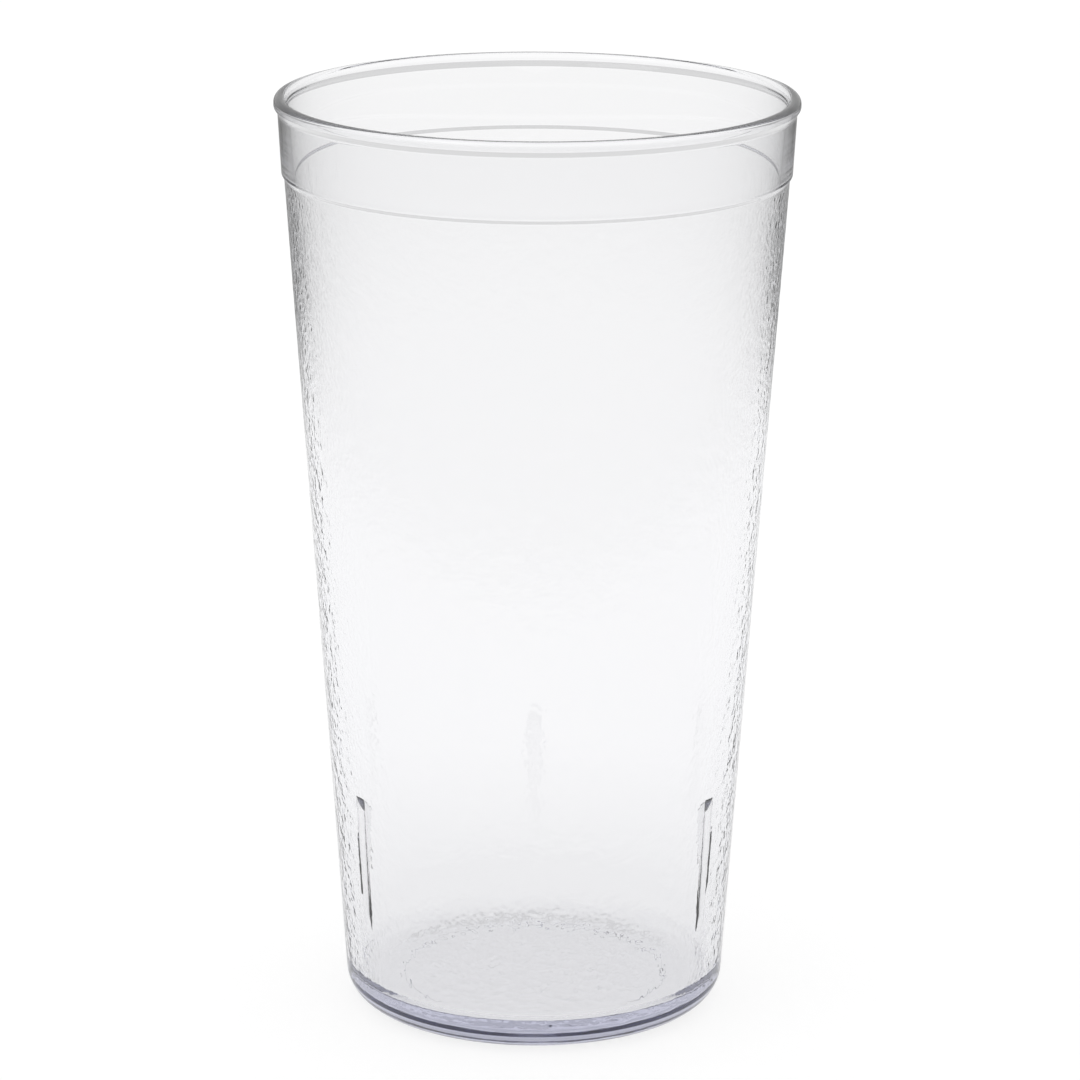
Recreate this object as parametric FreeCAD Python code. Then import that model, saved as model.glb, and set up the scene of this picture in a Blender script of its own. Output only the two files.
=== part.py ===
import FreeCAD, Part
import math
import os

# Clear moulded drinking tumbler in one piece: beaded lip, plain band, tapered body, thick floor, stacking ribs.
# Millimetres. The origin is the middle of the circle that the tumbler stands on, and +Z goes up to the mouth.

# Outside
cup_height = 160.0
lip_diameter = 89.0
body_base_diameter = 65.3  # the tapered body carried down to the standing plane
base_corner_radius = 5.5

# Lip: a rolled bead, and under it a plain band that ends in a small step
bead_height = 2.6  # from the top of the lip down to the band
bead_overhang = 0.65
bead_underside_height = 1.0
bead_edge_radius = 0.5
bead_root_radius = 1.0
lip_width = 2.1
lip_corner_radius = 1.0
band_height = 13.1  # from the top of the lip down to the step
band_draft_degrees = 3.2
step_depth = 0.45
step_drop = 0.5
step_corner_radius = 0.6

# Inside
base_wall = 2.8
floor_height = 5.2  # standing plane to the floor that the drink rests on
floor_corner_radius = 2.2

# Underside: a shallow round recess inside the standing ring
recess_diameter = 46.0
recess_depth = 0.2
recess_draft_degrees = 30.0
recess_corner_radius = 0.05

# Stacking ribs, upright on the inside of the wall
rib_count = 3
first_rib_degrees = 90.0
rib_width = 2.6
rib_top_height = 41.0  # where a rib's sloping top meets the wall
rib_top_depth = 1.5  # how far a rib stands in from the wall at its top
rib_draft_degrees = 0.9
rib_slope_degrees = 54.0
rib_edge_radius = 1.15

axis_point = FreeCAD.Vector(0, 0, 0)
axis_direction = FreeCAD.Vector(0, 0, 1)


def slope_run(rise, degrees):
    """How far a sloping face moves sideways over a rise."""
    return rise * math.tan(math.radians(degrees))


def slope_drop(run, degrees):
    """How far a sloping face comes down over a run."""
    return run * math.tan(math.radians(degrees))


# Radii and heights that follow from the driving sizes
lip_radius = lip_diameter / 2
bore_radius = lip_radius - lip_width
bead_foot_height = cup_height - bead_height
bead_edge_height = bead_foot_height + bead_underside_height
step_height = cup_height - band_height
body_top_height = step_height - step_drop
band_top_radius = lip_radius - bead_overhang
band_foot_radius = band_top_radius - slope_run(band_height - bead_height, band_draft_degrees)
body_top_radius = band_foot_radius - step_depth
body_base_radius = body_base_diameter / 2
inner_base_radius = body_base_radius - base_wall


def inner_radius(height):
    """Radius of the inside wall, one straight taper from the standing plane to the lip."""
    return inner_base_radius + (bore_radius - inner_base_radius) * height / cup_height


def outer_radius(height):
    """Radius of the tapered body outside, below the step."""
    return body_base_radius + (body_top_radius - body_base_radius) * height / body_top_height


def middle_of_wall(height):
    """Radius halfway through the tapered wall."""
    return (inner_radius(height) + outer_radius(height)) / 2


def rounded_outline(corners):
    """Closed flat wire through (point, corner radius) pairs, with a tangent arc at each rounded corner."""
    count = len(corners)
    points = [point for point, _ in corners]
    backs = [(points[i - 1] - points[i]).normalize() for i in range(count)]
    aheads = [(points[(i + 1) % count] - points[i]).normalize() for i in range(count)]
    half_angles = [backs[i].getAngle(aheads[i]) / 2 for i in range(count)]
    wanted = [corners[i][1] / math.tan(half_angles[i]) for i in range(count)]

    # Two arcs that want more than the line between them share it
    reaches = []
    for i in range(count):
        rooms = [wanted[i]]
        for j in (i - 1, (i + 1) % count):
            together = wanted[i] + wanted[j]
            line = 0.98 * points[i].distanceToPoint(points[j])
            if together > line:
                rooms.append(line * wanted[i] / together)
        reaches.append(min(rooms))

    arcs = []
    for i in range(count):
        inward = (backs[i] + aheads[i]).normalize()
        to_arc = reaches[i] / math.cos(half_angles[i]) - reaches[i] * math.tan(half_angles[i])
        arc_start = points[i] + backs[i] * reaches[i]
        arc_end = points[i] + aheads[i] * reaches[i]
        arcs.append((arc_start, points[i] + inward * to_arc, arc_end))

    edges = []
    for i in range(count):
        arc_start, arc_middle, arc_end = arcs[i]
        if reaches[i] > 0:
            edges.append(Part.Arc(arc_start, arc_middle, arc_end).toShape())
        edges.append(Part.LineSegment(arc_end, arcs[(i + 1) % count][0]).toShape())
    return Part.Wire(edges)


def make_shell():
    """Wall, lip and floor, turned about the upright axis from one section."""
    recess_radius = recess_diameter / 2
    recess_roof_radius = recess_radius - slope_run(recess_depth, recess_draft_degrees)
    section = [
        (0, recess_depth, 0),
        (recess_roof_radius, recess_depth, recess_corner_radius),
        (recess_radius, 0, recess_corner_radius),
        (body_base_radius, 0, base_corner_radius),
        (body_top_radius, body_top_height, step_corner_radius),
        (band_foot_radius, step_height, step_corner_radius),
        (band_top_radius, bead_foot_height, bead_root_radius),
        (lip_radius, bead_edge_height, bead_edge_radius),
        (lip_radius, cup_height, lip_corner_radius),
        (bore_radius, cup_height, lip_corner_radius),
        (inner_radius(floor_height), floor_height, floor_corner_radius),
        (0, floor_height, 0),
    ]
    corners = [(FreeCAD.Vector(radius, 0, height), rounding) for radius, height, rounding in section]
    return Part.Face(rounded_outline(corners)).revolve(axis_point, axis_direction, 360)


def make_rib(degrees):
    """One upright rib with a drafted face and a sloping top, rooted in the middle of the wall."""
    root_height = (floor_height + recess_depth) / 2
    root_radius = middle_of_wall(root_height)
    wall_radius = inner_radius(rib_top_height)
    top_radius = middle_of_wall(rib_top_height)
    face_radius = wall_radius - rib_top_depth
    half_width = rib_width / 2

    # The slope's high end lies inside the wall
    end_height = rib_top_height + slope_drop(top_radius - wall_radius, rib_slope_degrees)
    rib_height = end_height - root_height

    plan = [
        (FreeCAD.Vector(face_radius, -half_width, root_height), rib_edge_radius),
        (FreeCAD.Vector(top_radius, -half_width, root_height), 0),
        (FreeCAD.Vector(top_radius, half_width, root_height), 0),
        (FreeCAD.Vector(face_radius, half_width, root_height), rib_edge_radius),
    ]
    rib = Part.Face(rounded_outline(plan)).extrude(axis_direction * rib_height)

    # The face leans inwards below the rib's top, less than the wall does, so it runs out into the wall
    rib.rotate(FreeCAD.Vector(face_radius, 0, rib_top_height), FreeCAD.Vector(0, 1, 0), rib_draft_degrees)

    cut_radius = face_radius - half_width
    cut_foot_height = end_height - slope_drop(top_radius - cut_radius, rib_slope_degrees)
    above_slope = Part.makePolygon([
        FreeCAD.Vector(cut_radius, -rib_width, end_height),
        FreeCAD.Vector(top_radius, -rib_width, end_height),
        FreeCAD.Vector(cut_radius, -rib_width, cut_foot_height),
        FreeCAD.Vector(cut_radius, -rib_width, end_height),
    ])
    rib = rib.cut(Part.Face(above_slope).extrude(FreeCAD.Vector(0, 2 * rib_width, 0)))

    end_radius = middle_of_wall(end_height)
    inside_wall = Part.makeCone(root_radius, end_radius, rib_height, axis_direction * root_height, axis_direction)
    rib = rib.common(inside_wall)
    rib.rotate(axis_point, axis_direction, degrees)
    return rib


def make_tumbler():
    """The whole moulding as one solid."""
    ribs = [make_rib(first_rib_degrees + turn * 360 / rib_count) for turn in range(rib_count)]
    return make_shell().fuse(ribs).removeSplitter()


def save(name, shape):
    """Write one named piece as a STEP file and report its size."""
    shape.exportStep(os.path.join("parts", name + ".step"))
    box = shape.optimalBoundingBox(False)
    print(name, "solids", len(shape.Solids), "valid", shape.isValid(), "volume", round(shape.Volume, 1), "mm3")
    print("  box", round(box.XLength, 2), "x", round(box.YLength, 2), "x", round(box.ZLength, 2), "mm")


os.makedirs("parts", exist_ok=True)
save("tumbler", make_tumbler())
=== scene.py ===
import bpy
import bmesh
import math
from mathutils import Euler, Matrix, Vector, noise


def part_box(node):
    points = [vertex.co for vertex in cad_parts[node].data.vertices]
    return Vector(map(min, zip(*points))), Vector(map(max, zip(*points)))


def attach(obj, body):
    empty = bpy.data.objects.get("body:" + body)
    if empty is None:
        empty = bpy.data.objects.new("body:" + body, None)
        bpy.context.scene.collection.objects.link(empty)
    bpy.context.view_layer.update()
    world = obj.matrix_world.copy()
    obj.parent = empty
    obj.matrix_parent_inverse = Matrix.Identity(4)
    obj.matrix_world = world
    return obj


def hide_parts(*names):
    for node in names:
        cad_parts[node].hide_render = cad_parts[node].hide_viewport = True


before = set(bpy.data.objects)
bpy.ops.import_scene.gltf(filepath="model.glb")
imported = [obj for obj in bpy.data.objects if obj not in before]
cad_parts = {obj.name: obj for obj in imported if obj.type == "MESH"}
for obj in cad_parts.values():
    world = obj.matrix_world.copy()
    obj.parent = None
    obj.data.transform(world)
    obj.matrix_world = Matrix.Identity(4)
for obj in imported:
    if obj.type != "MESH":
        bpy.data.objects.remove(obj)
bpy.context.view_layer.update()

# Clear moulded tumbler on a white table, metres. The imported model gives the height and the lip's radius.
cadLow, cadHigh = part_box("tumbler")
mm = 0.001
weldDistance = 1e-7
margin = 1e-6  # how far past a row's height a test reaches


# one shader socket that can stand in plain arithmetic
class Shade:
    def __init__(self, tree, socket=None):
        self.tree = tree
        self.socket = socket

    def make(self, kind, settings=None, sockets=None, output=0):
        node = self.tree.nodes.new(kind)
        for name, value in (settings or {}).items():
            setattr(node, name, value)
        for name, value in (sockets or {}).items():
            if isinstance(value, Shade):
                self.tree.links.new(value.socket, node.inputs[name])
            else:
                node.inputs[name].default_value = value
        return Shade(self.tree, node.outputs[output])

    def maths(self, operation, first, second=0.0, clamp=False):
        settings = {"operation": operation, "use_clamp": clamp}
        return self.make("ShaderNodeMath", settings, {0: first, 1: second})

    def __add__(self, other):
        return self.maths("ADD", self, other)

    def __radd__(self, other):
        return self.maths("ADD", other, self)

    def __sub__(self, other):
        return self.maths("SUBTRACT", self, other)

    def __rsub__(self, other):
        return self.maths("SUBTRACT", other, self)

    def __mul__(self, other):
        return self.maths("MULTIPLY", self, other)

    def __rmul__(self, other):
        return self.maths("MULTIPLY", other, self)

    def __truediv__(self, other):
        return self.maths("DIVIDE", self, other)

    def __rtruediv__(self, other):
        return self.maths("DIVIDE", other, self)

    def clamped(self):
        return self.maths("ADD", self, 0.0, clamp=True)

    def larger(self, other):
        return self.maths("MAXIMUM", self, other)

    def into(self, node, name):
        self.tree.links.new(self.socket, node.inputs[name])


# rises from 0 to 1 while a value goes from 0 to a width
def risen(value, width):
    return (value / width).clamped()


def newMaterial(name):
    material = bpy.data.materials.new(name)
    material.use_nodes = True
    return material, material.node_tree.nodes["Principled BSDF"], Shade(material.node_tree)


# what a user would change on the tumbler, in metres but for the angles, counts and shares
tumbler = {
    "height": cadHigh.z - cadLow.z,
    "lipRadius": (cadHigh.y - cadLow.y) / 2,
    "lipWidth": 2.1 * mm,
    "lipRounding": 1.0 * mm,
    "beadHeight": 2.6 * mm,
    "beadOverhang": 0.65 * mm,
    "beadUnderside": 1.0 * mm,
    "beadRounding": 0.5 * mm,
    "beadRootRounding": 1.0 * mm,
    "bandHeight": 13.1 * mm,
    "bandDraft": 3.2,  # degrees
    "stepDepth": 0.45 * mm,
    "stepDrop": 0.5 * mm,
    "stepRounding": 0.6 * mm,
    "baseRadius": 32.65 * mm,
    "baseRounding": 5.5 * mm,
    "baseWall": 2.8 * mm,
    "floorHeight": 5.2 * mm,
    "floorRounding": 2.2 * mm,
    "recessRadius": 23.0 * mm,
    "recessDepth": 0.2 * mm,
    "recessDraft": 30.0,  # degrees
    "recessRounding": 0.05 * mm,
    "ribAngles": (90.0, 210.0, 330.0),
    "ribTop": 41.0 * mm,
    "ribDepth": 1.5 * mm,
    "ribDraft": 0.9,  # degrees
    "ribSlope": 54.0,  # degrees
    "ribRounding": 1.15 * mm,
    "ribHalfSteps": 2,  # half the rib's width, in steps of the turn
    "ribRows": 8,
    "ribBendCuts": 6,
    "holdRow": 0.15 * mm,
    "turnSteps": 300,
    "wedges": 5,  # spun wedges in each third of the turn
    "sharpEdge": 40.0,  # degrees, and flatter edges are shaded smooth
    "pebbleRow": 0.8 * mm,
    "pebbleFade": 1.2 * mm,
    "pebbleSize": 1.4 * mm,
    "pebbleHeight": 0.04 * mm,
    "finePebbleShare": 0.5,
    "finePebbleScale": 1.9,
}


def slopeRun(rise, degrees):
    return rise * math.tan(math.radians(degrees))


boreRadius = tumbler["lipRadius"] - tumbler["lipWidth"]
stepHeight = tumbler["height"] - tumbler["bandHeight"]
bodyTopHeight = stepHeight - tumbler["stepDrop"]
bandTopRadius = tumbler["lipRadius"] - tumbler["beadOverhang"]
bandFootRadius = bandTopRadius - slopeRun(tumbler["bandHeight"] - tumbler["beadHeight"], tumbler["bandDraft"])
bodyTopRadius = bandFootRadius - tumbler["stepDepth"]
innerBaseRadius = tumbler["baseRadius"] - tumbler["baseWall"]
recessRoofRadius = tumbler["recessRadius"] - slopeRun(tumbler["recessDepth"], tumbler["recessDraft"])
wallTaper = (boreRadius - innerBaseRadius) / tumbler["height"]


def innerRadius(height):
    return innerBaseRadius + wallTaper * height


def outerRadius(height):
    return tumbler["baseRadius"] + (bodyTopRadius - tumbler["baseRadius"]) * height / bodyTopHeight


# the section from the middle of the underside, out, up, over the lip and down to the middle of the floor:
# radius, height, rounding, steps in the rounding
def sectionCorners():
    t = tumbler
    return [
        (0.0, t["recessDepth"], 0.0, 0),
        (recessRoofRadius, t["recessDepth"], t["recessRounding"], 4),
        (t["recessRadius"], 0.0, t["recessRounding"], 4),
        (t["baseRadius"], 0.0, t["baseRounding"], 20),
        (bodyTopRadius, bodyTopHeight, t["stepRounding"], 5),
        (bandFootRadius, stepHeight, t["stepRounding"], 5),
        (bandTopRadius, t["height"] - t["beadHeight"], t["beadRootRounding"], 5),
        (t["lipRadius"], t["height"] - t["beadHeight"] + t["beadUnderside"], t["beadRounding"], 4),
        (t["lipRadius"], t["height"], t["lipRounding"], 8),
        (boreRadius, t["height"], t["lipRounding"], 8),
        (innerRadius(t["floorHeight"]), t["floorHeight"], t["floorRounding"], 14),
        (0.0, t["floorHeight"], 0.0, 0),
    ]


# how far each rounding reaches along its lines; two that want more than the line between them share it
def cornerReaches(corners):
    lineShare = 0.98
    points = [Vector((radius, height)) for radius, height, _, _ in corners]
    wanted = [0.0] * len(points)
    for i in range(1, len(points) - 1):
        turn = (points[i - 1] - points[i]).angle(points[i + 1] - points[i])
        wanted[i] = corners[i][2] / math.tan(turn / 2)
    reaches = list(wanted)
    for i in range(len(points) - 1):
        together = wanted[i] + wanted[i + 1]
        line = lineShare * (points[i + 1] - points[i]).length
        if together > line:
            reaches[i] = min(reaches[i], line * wanted[i] / together)
            reaches[i + 1] = min(reaches[i + 1], line * wanted[i + 1] / together)
    return reaches


def drawSection(bm):
    corners = sectionCorners()
    vertices = [bm.verts.new((radius, 0.0, height)) for radius, height, _, _ in corners]
    for first, second in zip(vertices, vertices[1:]):
        bm.edges.new((first, second))
    for vertex, corner, reach in zip(vertices, corners, cornerReaches(corners)):
        if corner[3]:
            bmesh.ops.bevel(
                bm, geom=[vertex], affect="VERTICES", offset=reach, offset_type="OFFSET",
                segments=corner[3], profile=0.5, material=-1,
            )


# a row close to each end of a straight run keeps the shading of the run flat, but for its end on the axis
def holdRuns(bm):
    for run in [e for e in bm.edges if e.calc_length() > 4 * tumbler["holdRow"]]:
        for end in run.verts[:]:
            if end.co.x > 1 * mm:
                made, _ = bmesh.utils.edge_split(run, end, tumbler["holdRow"] / run.calc_length())
                run = max((run, made), key=lambda e: e.calc_length())


def isInside(point):
    wall = (innerRadius(point.z) + outerRadius(point.z)) / 2
    return math.hypot(point.x, point.y) < wall and point.z > tumbler["floorHeight"] / 2


# a new row of points at one height, on the inside only
def cutRow(bm, height):
    inside = [v for v in bm.verts if isInside(v.co)]
    edges = [e for e in bm.edges if all(isInside(v.co) for v in e.verts)]
    bmesh.ops.bisect_plane(
        bm, geom=inside + edges, dist=weldDistance, plane_co=(0, 0, height), plane_no=(0, 0, 1),
    )


ribDraft = slopeRun(1, tumbler["ribDraft"])
ribSlope = 1 / math.tan(math.radians(tumbler["ribSlope"]))
ribShoulder = tumbler["ribTop"] - tumbler["ribDepth"] / (ribSlope - ribDraft)
ribFoot = tumbler["ribTop"] - tumbler["ribDepth"] / (wallTaper - ribDraft)
ribCount = len(tumbler["ribAngles"])


# how far from the axis a rib's face lies at a height, and its sloping top
def ribFace(height):
    return innerRadius(tumbler["ribTop"]) - tumbler["ribDepth"] - (tumbler["ribTop"] - height) * ribDraft


def ribTopFace(height):
    return innerRadius(tumbler["ribTop"]) - (tumbler["ribTop"] - height) * ribSlope


# copies of what has been made so far are set round the axis and welded to it
def copyRound(bm, copies, wedge):
    first = bm.verts[:] + bm.edges[:] + bm.faces[:]
    for i in range(1, copies):
        made = bmesh.ops.duplicate(bm, geom=first)["geom"]
        bmesh.ops.rotate(
            bm, verts=[v for v in made if isinstance(v, bmesh.types.BMVert)],
            cent=(0, 0, 0), matrix=Matrix.Rotation(i * wedge, 3, "Z"),
        )
    bmesh.ops.remove_doubles(bm, verts=bm.verts[:], dist=weldDistance)


# a wedge is spun from the section, and its copies fill a third of the turn
def spinThird(bm):
    drawSection(bm)
    holdRuns(bm)
    top, hold = tumbler["ribTop"], tumbler["holdRow"]
    for height in (ribFoot - hold, ribShoulder - hold, (ribShoulder + top) / 2, top, top + hold):
        cutRow(bm, height)
    for i in range(tumbler["ribRows"] + 1):
        cutRow(bm, ribFoot + (ribShoulder - ribFoot) * i / tumbler["ribRows"])

    # the pebbled body is the one long run that is left outside
    body = [e for e in bm.edges if e.calc_length() > tumbler["height"] / 2 and not isInside(e.verts[0].co)]
    rows = round(body[0].calc_length() / tumbler["pebbleRow"])
    bmesh.ops.subdivide_edges(bm, edges=body, cuts=rows - 1)

    thirdSteps = tumbler["turnSteps"] // ribCount
    wedgeSteps = thirdSteps // tumbler["wedges"]
    wedge = 2 * math.pi * wedgeSteps / tumbler["turnSteps"]
    bmesh.ops.spin(
        bm, geom=bm.verts[:] + bm.edges[:], cent=(0, 0, 0), axis=(0, 0, 1), dvec=(0, 0, 0),
        angle=wedge, steps=wedgeSteps, use_merge=False, use_duplicate=False,
    )
    copyRound(bm, tumbler["wedges"], wedge)
    bmesh.ops.recalc_face_normals(bm, faces=bm.faces[:])


# the rib is drawn in from the middle of the third's wall, so it is one skin with it
def drawRib(bm):
    middle = math.pi / ribCount
    step = 2 * math.pi / tumbler["turnSteps"]
    half = tumbler["ribHalfSteps"]
    low, high = ribFoot - margin, tumbler["ribTop"] + margin
    skin = 0.005 * mm

    def stepsAside(point):
        return (math.atan2(point.y, point.x) - middle) / step

    def underRib(face):
        centre = face.calc_center_median()
        return low < centre.z < high and abs(stepsAside(centre)) < half and isInside(centre)

    def betweenEnds(height):
        return low + 2 * margin < height < high - 2 * margin

    covered = [f for f in bm.faces if underRib(f)]
    drawn = bmesh.ops.extrude_face_region(bm, geom=covered)["geom"]
    bmesh.ops.delete(bm, geom=covered, context="FACES")
    for v in drawn:
        if isinstance(v, bmesh.types.BMVert) and betweenEnds(v.co.z):
            inward = ribFace(v.co.z) / math.hypot(v.co.x, v.co.y)
            v.co = Vector((v.co.x * inward, v.co.y * inward, v.co.z))
    bmesh.ops.remove_doubles(bm, verts=bm.verts[:], dist=weldDistance)

    # the last column on each side is cut finer, and bends round into the rib's side
    def inLastColumn(edge):
        first, second = (v.co for v in edge.verts)
        level = abs(first.z - second.z) < weldDistance and low < first.z < high
        return level and isInside(first) and half - 1 < abs(stepsAside((first + second) / 2)) < half - 0.1

    columns = [e for e in bm.edges if inLastColumn(e)]
    bmesh.ops.subdivide_edges(bm, edges=columns, cuts=tumbler["ribBendCuts"], use_grid_fill=True)
    rounding = tumbler["ribRounding"]
    flat = ribFace(ribFoot) * math.sin(half * step) - rounding
    for v in bm.verts:
        wall = innerRadius(v.co.z)
        if not betweenEnds(v.co.z) or math.hypot(v.co.x, v.co.y) > wall - 2 * skin:
            continue
        aside = abs(stepsAside(v.co)) - (half - 1)
        bend = max(0.0, aside) * math.pi / 2
        sideways = flat + rounding * math.sin(bend) if aside > 0 else flat * (1 + aside / (half - 1))
        face = ribFace(v.co.z) + rounding * (1 - math.cos(bend))
        depth = min(max(face, ribTopFace(v.co.z)), wall - skin)
        turn = middle + math.copysign(math.atan2(sideways, depth), stepsAside(v.co))
        reach = math.hypot(sideways, depth)
        v.co = Vector((reach * math.cos(turn), reach * math.sin(turn), v.co.z))


# the coarse part of the pebbling is in the mesh, and fades out at the base's corner and at the step
def pebble(bm):
    fade = tumbler["pebbleFade"]
    fineShift = Vector((7.3, 1.1, 4.7))
    low = tumbler["baseRounding"]
    pebbleTop = bodyTopHeight - tumbler["stepRounding"]
    for v in bm.verts:
        if isInside(v.co) or not low - fade < v.co.z < pebbleTop:
            continue
        edge = min(v.co.z - low + fade, pebbleTop - v.co.z)
        weight = min(1.0, max(0.0, edge / fade))
        place = v.co / tumbler["pebbleSize"]
        fine = noise.noise(place * tumbler["finePebbleScale"] + fineShift)
        bump = noise.noise(place) + tumbler["finePebbleShare"] * fine
        v.co += v.normal * (bump * weight * tumbler["pebbleHeight"])


def buildTumbler():
    bm = bmesh.new()
    spinThird(bm)
    drawRib(bm)
    turn = math.radians(tumbler["ribAngles"][0]) - math.pi / ribCount
    bmesh.ops.rotate(bm, verts=bm.verts[:], cent=(0, 0, 0), matrix=Matrix.Rotation(turn, 3, "Z"))
    copyRound(bm, ribCount, 2 * math.pi / ribCount)
    bmesh.ops.recalc_face_normals(bm, faces=bm.faces[:])
    bm.normal_update()
    pebble(bm)
    bm.normal_update()
    for face in bm.faces:
        face.smooth = True
    for edge in bm.edges:
        if len(edge.link_faces) == 2 and edge.calc_face_angle() > math.radians(tumbler["sharpEdge"]):
            edge.smooth = False
    openEdges = [e for e in bm.edges if len(e.link_faces) != 2]
    triangles = sum(len(f.verts) - 2 for f in bm.faces)
    millilitres = round(bm.calc_volume(signed=True) * 1e6, 2)
    print("tumbler: open edges", len(openEdges), "triangles", triangles, "ml of plastic", millilitres)
    mesh = bpy.data.meshes.new("tumblerShell")
    bm.to_mesh(mesh)
    bm.free()
    piece = bpy.data.objects.new("tumblerShell", mesh)
    bpy.context.scene.collection.objects.link(piece)
    return piece


# the plastic: clear, with the faint cool tint that shows only where light runs a long way in it
plastic = {
    "refraction": 1.57,
    "tintDensity": 75.0,
    "tint": (0.880, 0.883, 0.925, 1.0),
    "pebbleSize": 0.8 * mm,  # the fine part of the pebbling
    "pebbleBump": 0.03 * mm,
    "flowSize": 3.0 * mm,  # slow waves in the floor
    "flowBump": 0.07 * mm,
    "ribRoughness": 0.25,
    "fade": 1 * mm,  # between one surface's look and the next one's
}


def plasticMaterial():
    material, shader, shade = newMaterial("clearPlastic")
    tree = material.node_tree
    shader.inputs["Base Color"].default_value = (1.0, 1.0, 1.0, 1.0)
    shader.inputs["IOR"].default_value = plastic["refraction"]
    shader.inputs["Transmission Weight"].default_value = 1.0

    place = shade.make("ShaderNodeTexCoord", output="Object")
    x = shade.make("ShaderNodeSeparateXYZ", sockets={"Vector": place}, output="X")
    y = shade.make("ShaderNodeSeparateXYZ", sockets={"Vector": place}, output="Y")
    z = shade.make("ShaderNodeSeparateXYZ", sockets={"Vector": place}, output="Z")
    radius = shade.maths("SQRT", x * x + y * y)
    taper = (bodyTopRadius - tumbler["baseRadius"]) / bodyTopHeight
    fade = plastic["fade"]
    outside = risen(radius - z * taper - (tumbler["baseRadius"] - 0.9 * fade), 0.5 * fade)
    belowStep = risen(bodyTopHeight - 0.3 * fade - z, 0.8 * fade)
    aboveCorner = risen(z - tumbler["baseRounding"] + fade, 1.5 * fade)
    pebbled = outside * belowStep * aboveCorner
    onFloor = risen(tumbler["recessRadius"] - fade - radius, 3 * fade)
    onFloor = onFloor * risen(tumbler["floorHeight"] + fade - z, fade)
    onRib = risen(innerBaseRadius + z * wallTaper - 0.05 * fade - radius, 0.1 * fade)
    onRib = onRib * risen(z - tumbler["floorHeight"] - tumbler["floorRounding"], fade)

    def waves(size, detail):
        sockets = {"Vector": place, "Scale": 1 / size, "Detail": detail}
        return shade.make("ShaderNodeTexNoise", sockets=sockets, output="Fac")

    grain = waves(plastic["pebbleSize"], 0.0)
    flow = waves(plastic["flowSize"], 1.0)
    height = pebbled * (grain - 0.5) * plastic["pebbleBump"] + onFloor * (flow - 0.5) * plastic["flowBump"]
    bump = shade.make("ShaderNodeBump", sockets={"Distance": 1.0, "Height": height}, output="Normal")
    bump.into(shader, "Normal")
    (onRib * plastic["ribRoughness"]).into(shader, "Roughness")

    volume = tree.nodes.new("ShaderNodeVolumeAbsorption")
    volume.inputs["Color"].default_value = plastic["tint"]
    volume.inputs["Density"].default_value = plastic["tintDensity"]
    tree.links.new(volume.outputs["Volume"], tree.nodes["Material Output"].inputs["Volume"])
    return material


# table and surroundings
studio = {
    "tableSize": 12.0,
    "tableColour": 0.3,
    "tableGlow": 0.78,
    "tableWhite": 0.38,  # past this distance the table fades, as painted shade, in reflections inside the plastic
    "tableFade": 0.15,
    # painted shade: how much darker the far table is painted in reflections
    "paintedFarShade": 0.6,
    "paintedShadeThrough": 0.045,  # painted shade: how much dimmer the table is painted for every ray but the camera's, as seen through the plastic
    "paintedShadowReach": 0.14,  # and a painted shadow, darker still this close to the tumbler
    "paintedShadowFade": 0.07,
    # painted shadow: how much darker the table is painted close to the tumbler
    "paintedShadowDrop": 0.06,
    "skyLight": 0.9,
    "lowSky": 0.3,
    "lowSkyDrop": 0.3,  # how much dimmer the room is near the horizon
    "lampPower": 1.2,
    "lampSize": 0.9,
    "lampPlace": (-0.9, -0.7, 1.5),
    "lampAim": (0.0, 0.0, 0.08),
}


# 1 where a ray comes straight from the camera, or by way of the plastic
def seenDirectly(shade):
    names = ("Is Camera Ray", "Is Glossy Ray", "Is Transmission Ray")
    rays = [shade.make("ShaderNodeLightPath", output=name) for name in names]
    return rays[0].larger(rays[1]).larger(rays[2])


def buildTable():
    bm = bmesh.new()
    bmesh.ops.create_grid(bm, x_segments=1, y_segments=1, size=studio["tableSize"] / 2)
    mesh = bpy.data.meshes.new("table")
    bm.to_mesh(mesh)
    bm.free()
    table = bpy.data.objects.new("table", mesh)
    bpy.context.scene.collection.objects.link(table)
    material, shader, shade = newMaterial("whiteTable")
    place = shade.make("ShaderNodeTexCoord", output="Object")
    distance = shade.make("ShaderNodeVectorMath", {"operation": "LENGTH"}, {0: place}, output="Value")
    # painted shade: after a reflection the far table is painted darker, so the plastic's edges darken
    reflected = shade.make("ShaderNodeLightPath", output="Glossy Depth").clamped()
    far = risen(distance - studio["tableWhite"], studio["tableFade"])
    camera = shade.make("ShaderNodeLightPath", output="Is Camera Ray")
    # painted shadow and shade: rays other than the camera's see the table dimmer, and darker close to the
    # tumbler
    near = risen(studio["paintedShadowReach"] - distance, studio["paintedShadowFade"])
    through = 1 - (1 - camera) * (studio["paintedShadeThrough"] + near * studio["paintedShadowDrop"])
    level = (1 - reflected * far * studio["paintedFarShade"]) * through
    (level * studio["tableColour"]).into(shader, "Base Color")
    shader.inputs["Roughness"].default_value = 0.9
    shader.inputs["Specular IOR Level"].default_value = 0.0
    shader.inputs["Emission Color"].default_value = (1.0, 1.0, 1.0, 1.0)
    (seenDirectly(shade) * level * studio["tableGlow"]).into(shader, "Emission Strength")
    table.location.z = -0.1 * mm  # a hair under the tumbler, so no two faces share a place
    mesh.materials.append(material)
    return table


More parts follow.
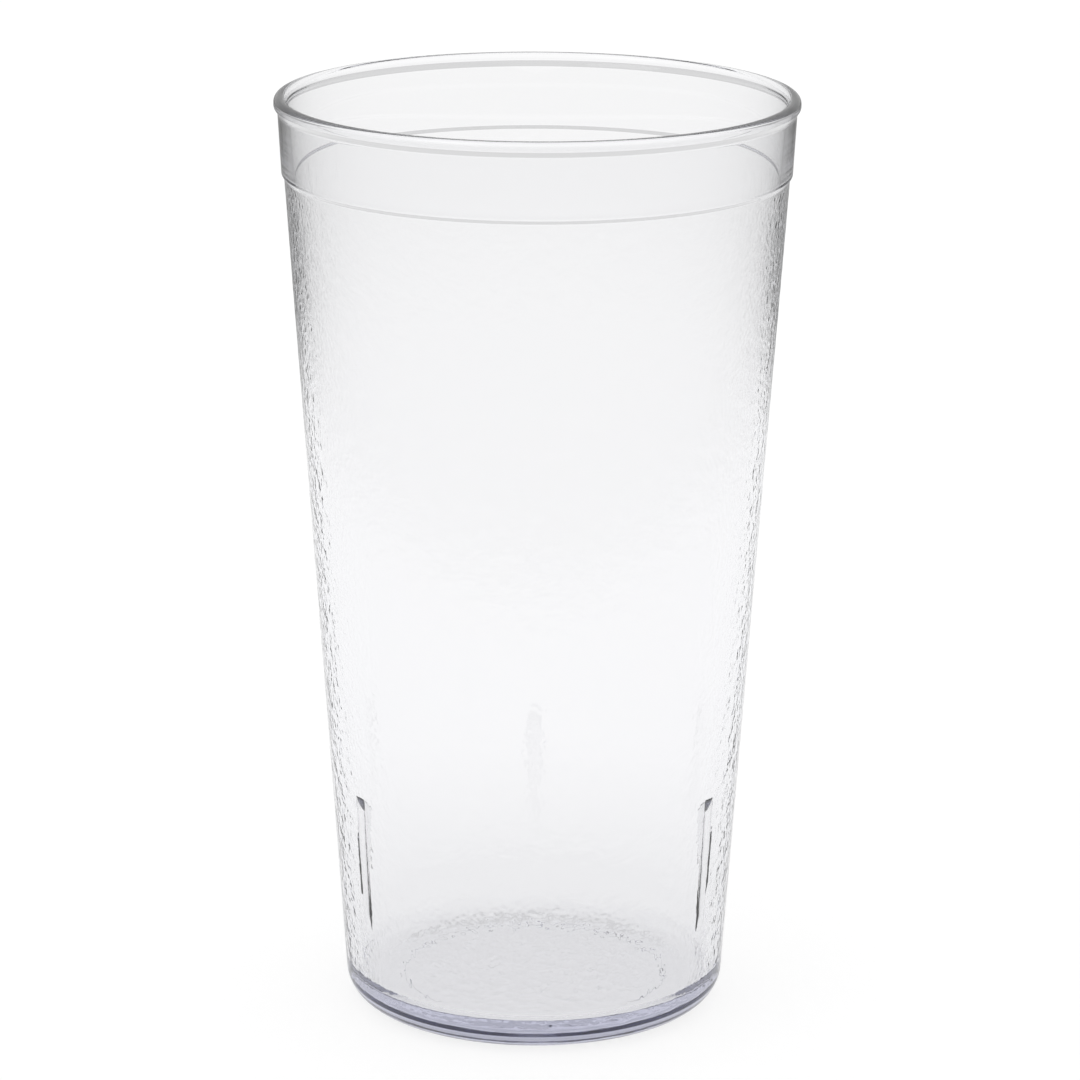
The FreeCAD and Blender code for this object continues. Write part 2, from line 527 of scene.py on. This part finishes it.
def buildSky():
    world = bpy.data.worlds.new("softRoom")
    world.use_nodes = True
    bpy.context.scene.world = world
    shade = Shade(world.node_tree)
    background = world.node_tree.nodes["Background"]
    direct = seenDirectly(shade)
    background.inputs["Color"].default_value = (1.0, 1.0, 1.0, 1.0)
    place = shade.make("ShaderNodeTexCoord", output="Generated")
    up = shade.make("ShaderNodeSeparateXYZ", sockets={"Vector": place}, output="Z")
    low = 1 - risen(up - studio["lowSky"], studio["lowSky"])
    camera = shade.make("ShaderNodeLightPath", output="Is Camera Ray")
    level = direct + (1 - direct) * studio["skyLight"] - low * (1 - camera) * studio["lowSkyDrop"]
    level.into(background, "Strength")


def buildLamp():
    light = bpy.data.lights.new("softLamp", "AREA")
    light.shape = "DISK"
    light.size = studio["lampSize"]
    light.energy = studio["lampPower"]
    lamp = bpy.data.objects.new("softLamp", light)
    lamp.location = studio["lampPlace"]
    lamp.rotation_mode = "QUATERNION"
    aim = Vector(studio["lampAim"]) - Vector(studio["lampPlace"])
    lamp.rotation_quaternion = aim.to_track_quat("-Z", "Y")
    bpy.context.scene.collection.objects.link(lamp)


# the photograph's viewpoint
view = {
    "distance": 816.9 * mm,
    "height": 303.8 * mm,
    "downDegrees": 15.18,
    "aside": 0.053,  # degrees that the camera looks past the tumbler's axis
    "roll": 0.25,  # degrees
    "lens": 163.3,  # millimetres, on a sensor 36 wide
}


def buildCamera():
    data = bpy.data.cameras.new("camera")
    data.lens = view["lens"]
    data.sensor_width = 36.0
    data.clip_start = 0.01
    data.clip_end = 50.0
    camera = bpy.data.objects.new("camera", data)
    camera.location = (0.0, -view["distance"], view["height"])
    up, aside = math.radians(90 - view["downDegrees"]), math.radians(-view["aside"])
    look = Euler((up, 0.0, aside), "XYZ").to_quaternion()
    roll = Euler((0.0, 0.0, math.radians(view["roll"])), "XYZ").to_quaternion()
    camera.rotation_mode = "QUATERNION"
    camera.rotation_quaternion = look @ roll
    bpy.context.scene.collection.objects.link(camera)
    bpy.context.scene.camera = camera


shell = buildTumbler()
shell.data.materials.append(plasticMaterial())
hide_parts("tumbler")
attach(shell, "root")
print("tumbler made")

buildTable()
buildSky()
buildLamp()
buildCamera()
bpy.context.scene.view_settings.view_transform = "Standard"
# light runs round inside the thick base and the ribs for many bounces
bpy.context.scene.cycles.max_bounces = 20
bpy.context.scene.cycles.glossy_bounces = 14
bpy.context.scene.cycles.transmission_bounces = 16
print("table, light and camera made")
